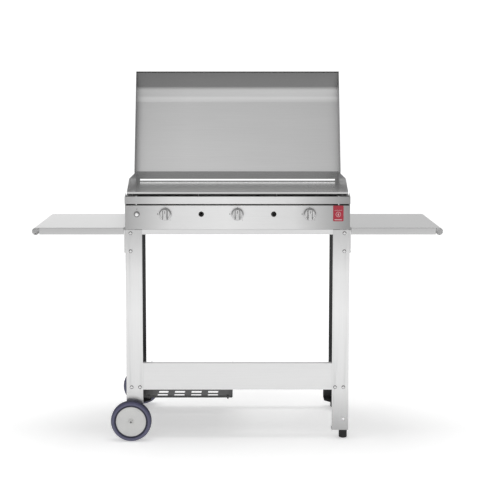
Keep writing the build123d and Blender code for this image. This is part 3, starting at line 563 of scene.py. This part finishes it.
# ---------------------------------------------------------------- knobs and igniter
def control_knob(name):
    """Round skirt with a grooved rim, an upright waisted grip between two dark strips of painted shadow, a
    pointer.
    """
    low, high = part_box("knob_" + name)
    centre = KNOB_CENTRES[name]
    radius = (high.x - low.x) / 2
    back = high.y
    depth = high.y - low.y
    start = Vector((centre.x, back, centre.z))
    skirt = (
        (5.2 * MM, 0.0),
        (radius - 0.5 * MM, 0.0),
        (radius, 0.5 * MM),
        (radius, 2.0 * MM),
        (radius - 0.6 * MM, 2.3 * MM),
        (radius - 0.6 * MM, 3.0 * MM),
        (radius, 3.3 * MM),
        (radius, 4.2 * MM),
        (radius - 0.3 * MM, 5.5 * MM),
        (radius - 1.1 * MM, 6.9 * MM),
        (radius - 2.3 * MM, 8.1 * MM),
        (radius - 3.6 * MM, 8.8 * MM),
        (radius - 5.0 * MM, 9.0 * MM),
        (radius - 5.6 * MM, 8.4 * MM),
        (radius - 9.0 * MM, 8.2 * MM),
        (5.2 * MM, 8.2 * MM),
    )
    bm = lathe_bmesh(skirt, start, FORWARD, 72)
    tall = 19.0 * MM
    wide = 7.5 * MM
    outline = []
    for side in (1, -1):
        outline += [
            (side * wide, -side * tall * 0.72),
            (side * wide * 0.86, -side * tall * 0.3),
            (side * wide * 0.82, 0),
            (side * wide * 0.86, side * tall * 0.3),
            (side * wide, side * tall * 0.72),
            (side * wide * 0.93, side * tall * 0.9),
            (side * wide * 0.66, side * tall * 0.985),
            (side * wide * 0.3, side * tall),
            (-side * wide * 0.3, side * tall),
            (-side * wide * 0.66, side * tall * 0.985),
            (-side * wide * 0.93, side * tall * 0.9),
        ]
    grip = bmesh.new()
    stations = (
        (7.4 * MM, 1.08),
        (9.2 * MM, 1.06),
        (depth - 1.8 * MM, 0.9),
        (depth - 0.5 * MM, 0.85),
        (depth, 0.76),
    )
    rings = []
    for out, size in stations:
        ring = [
            grip.verts.new((centre.x + u * size, back - out, centre.z + v * (0.2 * size + 0.8)))
            for u, v in outline
        ]
        rings.append(ring)
    bridge(grip, rings)
    grip.faces.new(rings[0])
    grip.faces.new(rings[-1])
    join_bmesh(bm, grip)
    body = "knob_" + name
    finish_object(
        "control_knob_" + name, bm, body, FINISH["knob_metal"], ("knob_" + name,), 0.0003
    )
    # Painted shadow: two thin dark strips stand beside the grip where its sides fall into shade.
    for side in (-1, 1):
        shadow_outline = rounded_rectangle(
            sorted((centre.x + side * 8.2 * MM, centre.x + side * 9.5 * MM)),
            (centre.z - 18.2 * MM, centre.z + 14.6 * MM), 0.6 * MM,
        )
        shadow_strip = flat_bmesh(shadow_outline, y_profile, (back - 9.25 * MM, back - 8.0 * MM))
        word = "left" if side < 0 else "right"
        finish_object("knob_groove_" + name + "_" + word, shadow_strip, body, FINISH["print"])
    line = rounded_rectangle(
        (centre.x - 0.8 * MM, centre.x + 0.8 * MM), (centre.z + 5 * MM, centre.z + 15 * MM), 0.7 * MM
    )
    mark = flat_bmesh(line, y_profile, (low.y, low.y + 0.6 * MM))
    finish_object("knob_pointer_" + name, mark, body, FINISH["print"])


def panel_marks():
    """Printed marks: a dot over each knob, two flame drops beside it, and a spark over the igniter."""
    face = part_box("control_panel")[0].y
    span = (face - 0.15 * MM, face + 0.05 * MM)
    for name in KNOBS:
        centre = KNOB_CENTRES[name]
        bm = flat_bmesh(arc((centre.x, centre.z + 24.6 * MM), 1.3 * MM, 0, 342, 19), y_profile, span)
        drop = flame_drop(centre.x - 27.0 * MM, centre.z, 3.0 * MM)
        flat_bmesh(drop, y_profile, span, bm)
        small = flame_drop(centre.x + 17.5 * MM, centre.z - 21.0 * MM, 1.7 * MM)
        flat_bmesh(small, y_profile, span, bm)
        finish_object("dial_marks_" + name, bm, "stand", FINISH["print"])
    button = middle("igniter_button")
    spark = [
        (0.4, 4.0), (-1.6, -0.4), (-0.2, -0.2), (-0.8, -4.0), (1.6, 0.8), (0.2, 0.6), (1.4, 4.0),
    ]
    points = [(button.x + u * MM, button.z + (17.0 + v) * MM) for u, v in spark]
    bm = flat_bmesh(points, y_profile, span)
    finish_object("igniter_mark", bm, "stand", FINISH["print"])


def flame_drop(x, z, size):
    """Outline of a drop with its point up."""
    points = arc((x, z), size * 0.62, 200, 340, 12)
    return points + [Vector((x + size * 0.42, z + size * 0.45)), Vector((x, z + size * 1.25)),
                     Vector((x - size * 0.42, z + size * 0.45))]


def igniter():
    """Domed push button in the place of the CAD one; its bezel stays as the CAD node."""
    button_low, button_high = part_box("igniter_button")
    centre = middle("igniter_button")
    radius = (button_high.x - button_low.x) / 2
    length = button_high.y - button_low.y
    start = Vector((centre.x, button_high.y, centre.z))
    rise = 3.2 * MM
    dome = [(0.0, 0.0), (radius - 0.4 * MM, 0.0), (radius, 0.4 * MM), (radius, length - rise)]
    for step in range(1, 8):
        angle = math.radians(90 * step / 8)
        dome.append((radius * math.cos(angle), length - rise + rise * math.sin(angle)))
    dome.append((0.0, length))
    bm = lathe_bmesh(dome, start, FORWARD, 56)
    finish_object("igniter_cap", bm, "button", FINISH["chrome"], ("igniter_button",))


# ---------------------------------------------------------------- badge
def badge():
    """Enamel plate with a raised rim, a ring with a flame drop and a plain bar; no lettering."""
    low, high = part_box("badge")
    centre = (low + high) / 2
    width, height = high.x - low.x, high.z - low.z
    outline = rounded_rectangle((low.x, high.x), (low.z, high.z), 3 * MM)
    rim = 1.1 * MM
    inner = rounded_rectangle((low.x + rim, high.x - rim), (low.z + rim, high.z - rim), 2.2 * MM)
    bm = bmesh.new()
    front, step, back = low.y + 0.15 * MM, low.y + 0.4 * MM, high.y
    rings = []
    for points, y in ((outline, back), (outline, front), (inner, front), (inner, step)):
        rings.append([bm.verts.new((p[0], y, p[1])) for p in points])
    bridge(bm, rings)
    bm.faces.new(rings[0])
    bm.faces.new(rings[-1])
    finish_object("badge_plate", bm, "stand", FINISH["badge_red"], ("badge",), 0.0001)
    marks = bmesh.new()
    span = (low.y, low.y + 0.45 * MM)
    middle_z = low.z + height * 0.44
    size = width * 0.25
    rings = []
    for radius in (size, size * 0.82):
        for y in span:
            circle = arc((centre.x, middle_z), radius, 0, 350, 35)
            rings.append([marks.verts.new((p.x, y, p.y)) for p in circle])
    bridge(marks, [rings[index] for index in (0, 1, 3, 2, 0)])
    flat_bmesh(flame_drop(centre.x, middle_z - size * 0.16, size * 0.55), y_profile, span, marks)
    bar = rounded_rectangle((centre.x - width * 0.36, centre.x + width * 0.36),
                            (low.z + height * 0.07, low.z + height * 0.13), 1.2 * MM)
    flat_bmesh(bar, y_profile, span, marks)
    top = rounded_rectangle((centre.x - width * 0.36, centre.x + width * 0.36),
                            (low.z + height * 0.69, low.z + height * 0.71), 0.4 * MM)
    flat_bmesh(top, y_profile, span, marks)
    finish_object("badge_marks", marks, "stand", FINISH["badge_pale"])


# ---------------------------------------------------------------- fasteners and feet
def dome_bolt(bm, face, out, radius, head, shank, length):
    """Domed socket bolt: face is the centre under its head, out points away from the sheet."""
    out = Vector(out)
    flat = [(0.0, head - 1.5 * MM), (1.75 * MM, head - 1.5 * MM), (1.75 * MM, head - 0.1 * MM),
            (2.3 * MM, head)]
    curve = []
    for step in range(1, 8):
        angle = math.radians(90 - 84 * step / 8)
        reach = 2.3 * MM + (radius - 2.3 * MM) * math.cos(angle)
        curve.append((reach, head * (0.22 + 0.78 * math.sin(angle))))
    under = [(radius, head * 0.2), (radius, 0.0), (shank, 0.0), (shank, -length + 0.6 * MM),
             (shank - 0.6 * MM, -length), (0.0, -length)]
    lathe_bmesh(flat + curve + under, face, out, 36, bm)


def hex_nut(bm, face, out, across, height, bore):
    """Hexagon nut with chamfered corners around a bore."""
    radius = across / math.sqrt(3)
    profile = ((bore, 0.0), (radius - 0.5 * MM, 0.0), (radius, 0.5 * MM), (radius, height - 0.5 * MM),
               (radius - 0.5 * MM, height), (bore, height))
    lathe_bmesh(profile, face, out, 6, bm)


HEAD_HEIGHT = 2.6 * MM
SHANK_R = 3.0 * MM
NUT_BORE = 3.1 * MM
NUT_DEPTH_MAX = 7 * MM


def leg_bolts():
    """Bolts and nuts of the front legs, rebuilt at the places of the CAD ones, and thin black washers that give
    each head a ring of painted shadow.
    """
    bm = bmesh.new()
    for low, high in loose_boxes("front_bolts"):
        centre = (low + high) / 2
        radius = (high.x - low.x) / 2
        depth = high.y - low.y
        if high.z - low.z > 2 * radius + 0.2 * MM or depth < NUT_DEPTH_MAX:
            face = Vector((centre.x, high.y, centre.z))
            hex_nut(bm, face, FORWARD, min(high.x - low.x, high.z - low.z), depth, NUT_BORE)
        else:
            face = Vector((centre.x, low.y + HEAD_HEIGHT, centre.z))
            dome_bolt(bm, face, FORWARD, radius, HEAD_HEIGHT, SHANK_R, depth - HEAD_HEIGHT)
    finish_object("front_dome_bolts", bm, "stand", FINISH["bolt_steel"],
                  ("front_bolts",))
    # Painted shadow: the washers are black so that each bolt head gets the dark ring of shade at its rim.
    rings = bmesh.new()
    for low, high in loose_boxes("front_bolts"):
        centre = (low + high) / 2
        if high.y > FRONT + 0.5 * MM > low.y:
            seat = Vector((centre.x, FRONT, centre.z))
            ring = ((3.4 * MM, 0.0), (6.3 * MM, 0.0), (6.4 * MM, 0.2 * MM), (6.2 * MM, 0.45 * MM),
                    (3.4 * MM, 0.5 * MM))
            lathe_bmesh(ring, seat, FORWARD, 32, rings)
    finish_object("bolt_washers", rings, "stand", FINISH["black_bolts"])


def ribbed_feet():
    """Rubber feet: a recessed sole with a soft edge, three grooves and a bevelled top."""
    bm = bmesh.new()
    for low, high in loose_boxes("rubber_feet"):
        centre = (low + high) / 2
        radius = (high.x - low.x) / 2
        height = high.z - low.z
        profile = [(3.2 * MM, 0.8 * MM), (radius - 5 * MM, 0.8 * MM), (radius - 4 * MM, 0.0),
                   (radius - 2.6 * MM, 0.0), (radius - 0.9 * MM, 0.8 * MM), (radius, 2.6 * MM)]
        for step in range(3):
            z = (9 + 6 * step) * MM
            profile += [(radius, z - 1.0 * MM), (radius - 0.9 * MM, z - 0.5 * MM),
                        (radius - 0.9 * MM, z + 0.5 * MM), (radius, z + 1.0 * MM)]
        profile += [(radius, height - 1.6 * MM), (radius - 1.4 * MM, height), (3.2 * MM, height)]
        lathe_bmesh(profile, Vector((centre.x, centre.y, low.z)), (0, 0, 1), 48, bm)
    finish_object("ribbed_feet", bm, "stand", FINISH["rubber"], ("rubber_feet",))


# ---------------------------------------------------------------- CAD nodes that stay
def keep_node(name, material, bevel=0.0004):
    """A CAD node whose shape is right gets a finish and eased edges."""
    node = frame["nodes"][name]
    node.data.materials.clear()
    node.data.materials.append(material)
    weld = node.modifiers.new("weld", "WELD")
    weld.merge_threshold = 1e-6
    ease_edges(node, bevel)


SLOT_OF = {entry["node"]: entry["material_slot"] for entry in frame["record"]["subparts"]}
LOOK_OF = {
    "axle_nuts": "hub_plastic",
    "back_splash": "splash_steel",
    "wheel_axle": "dark_zinc",
    "front_leg_left": "stainless_up",
    "front_leg_right": "stainless_up",
    "shelf_left": "stainless_shelf",
    "shelf_right": "stainless_shelf",
    "control_panel": "stainless_panel",
    "grease_drawer": "stainless_panel",
    "lid_panel": "hood_steel",
    "lid_side_left": "hood_side",
    "lid_side_right": "hood_side",
}
for node_name in frame["nodes"]:
    keep_node(node_name, FINISH[LOOK_OF.get(node_name, SLOT_OF[node_name])])

# ---------------------------------------------------------------- pieces made in detail
for wheel_place in ("front", "rear"):
    wheel_parts(wheel_place)
for knob_name in KNOBS:
    control_knob(knob_name)
panel_marks()
igniter()
badge()
leg_bolts()
ribbed_feet()


# ---------------------------------------------------------------- floor, light and camera
def add_area(name, place, target, size, power):
    """Rectangular soft light aimed at a point."""
    light = bpy.data.lights.new(name, "AREA")
    light.shape = "RECTANGLE"
    light.size, light.size_y = size
    light.energy = power
    lamp = bpy.data.objects.new(name, light)
    lamp.location = place
    lamp.visible_camera = False
    lamp.rotation_mode = "QUATERNION"
    lamp.rotation_quaternion = (Vector(target) - Vector(place)).to_track_quat("-Z", "Y")
    bpy.context.scene.collection.objects.link(lamp)
    return lamp


FLOOR_RADIUS = 5.0
# Glow of the floor a metre from its middle and at its rim, so that it runs into the backdrop.
FLOOR_GLOW = (0.41, 0.8)
# Brightness of the surroundings by height: light at eye level, dim overhead.
SKY = ((0.0, 0.95), (0.16, 0.9), (0.45, 0.8), (0.62, 0.36), (0.9, 0.42))
SIDES = ((0.0, 1.0), (0.45, 0.95), (0.75, 0.5), (0.95, 0.35))
BACKDROP = 1.1
# Place, target, size and power of each soft light.
LIGHTS = {
    "overhead": ((0, 0.25, 4.2), (0, 0, 0), (3.0, 2.6), 85),
    "key": ((-1.6, -3.4, 3.0), (0, 0, 0.7), (2.2, 1.6), 5),
    "back_left": ((-1.5, 3.0, 1.2), (-0.5, 0, 0.7), (1.6, 1.6), 3),
}


def studio():
    """Pale seamless floor, pale surroundings behind a white backdrop, and three soft lights."""
    bm = bmesh.new()
    bmesh.ops.create_circle(bm, cap_ends=True, segments=96, radius=FLOOR_RADIUS)
    mesh = bpy.data.meshes.new("floor")
    bm.to_mesh(mesh)
    bm.free()
    floor = bpy.data.objects.new("floor", mesh)
    bpy.context.scene.collection.objects.link(floor)
    material, nodes, links, shader = new_material("pale_floor")
    shader.inputs["Base Color"].default_value = (0.92, 0.92, 0.92, 1)
    shader.inputs["Roughness"].default_value = 0.9
    shader.inputs["Emission Color"].default_value = (1, 1, 1, 1)
    coords = nodes.new("ShaderNodeTexCoord")
    length = nodes.new("ShaderNodeVectorMath")
    length.operation = "LENGTH"
    span = nodes.new("ShaderNodeMapRange")
    span.inputs["From Min"].default_value = 1.0
    span.inputs["From Max"].default_value = FLOOR_RADIUS
    span.inputs["To Min"].default_value = FLOOR_GLOW[0]
    span.inputs["To Max"].default_value = FLOOR_GLOW[1]
    links.new(coords.outputs["Object"], length.inputs[0])
    links.new(length.outputs["Value"], span.inputs["Value"])
    links.new(span.outputs["Result"], shader.inputs["Emission Strength"])
    mesh.materials.append(material)
    world = bpy.data.worlds.new("studio")
    bpy.context.scene.world = world
    world.use_nodes = True
    nodes, links = world.node_tree.nodes, world.node_tree.links
    around = nodes["Background"]
    coords = nodes.new("ShaderNodeTexCoord")
    split = nodes.new("ShaderNodeSeparateXYZ")
    links.new(coords.outputs["Generated"], split.inputs["Vector"])
    sideways = nodes.new("ShaderNodeMath")
    sideways.operation = "ABSOLUTE"
    links.new(split.outputs["X"], sideways.inputs[0])
    sky = ramp(nodes, links, split.outputs["Z"], SKY)
    sides = ramp(nodes, links, sideways.outputs["Value"], SIDES)
    links.new(multiply(nodes, links, sky, sides), around.inputs["Color"])
    around.inputs["Strength"].default_value = 1.0
    behind = nodes.new("ShaderNodeBackground")
    behind.inputs["Color"].default_value = (1, 1, 1, 1)
    behind.inputs["Strength"].default_value = BACKDROP
    path = nodes.new("ShaderNodeLightPath")
    mix = nodes.new("ShaderNodeMixShader")
    links.new(path.outputs["Is Camera Ray"], mix.inputs["Fac"])
    links.new(around.outputs["Background"], mix.inputs[1])
    links.new(behind.outputs["Background"], mix.inputs[2])
    links.new(mix.outputs["Shader"], nodes["World Output"].inputs["Surface"])
    lamps = {name: add_area(name, *settings) for name, settings in LIGHTS.items()}
    # The steel would mirror the overhead light as a white sheet.
    lamps["overhead"].visible_glossy = False


CAMERA_AWAY = 4.0
CAMERA_HEIGHT = 1.32
CAMERA_PITCH = 5.16
LENS = 81.6
SENSOR = 36.0
SHIFT = (0.025, -0.15)


def camera():
    """Camera at eye height in front, tilted down a little."""
    data = bpy.data.cameras.new("camera")
    data.lens = LENS
    data.sensor_width = SENSOR
    data.shift_x, data.shift_y = SHIFT
    data.clip_end = 100
    eye = bpy.data.objects.new("camera", data)
    eye.location = (0, FRONT - CAMERA_AWAY, CAMERA_HEIGHT)
    eye.rotation_euler = (math.radians(90 - CAMERA_PITCH), 0, 0)
    bpy.context.scene.collection.objects.link(eye)
    bpy.context.scene.camera = eye


studio()
camera()
bpy.context.scene.view_settings.view_transform = "Standard"
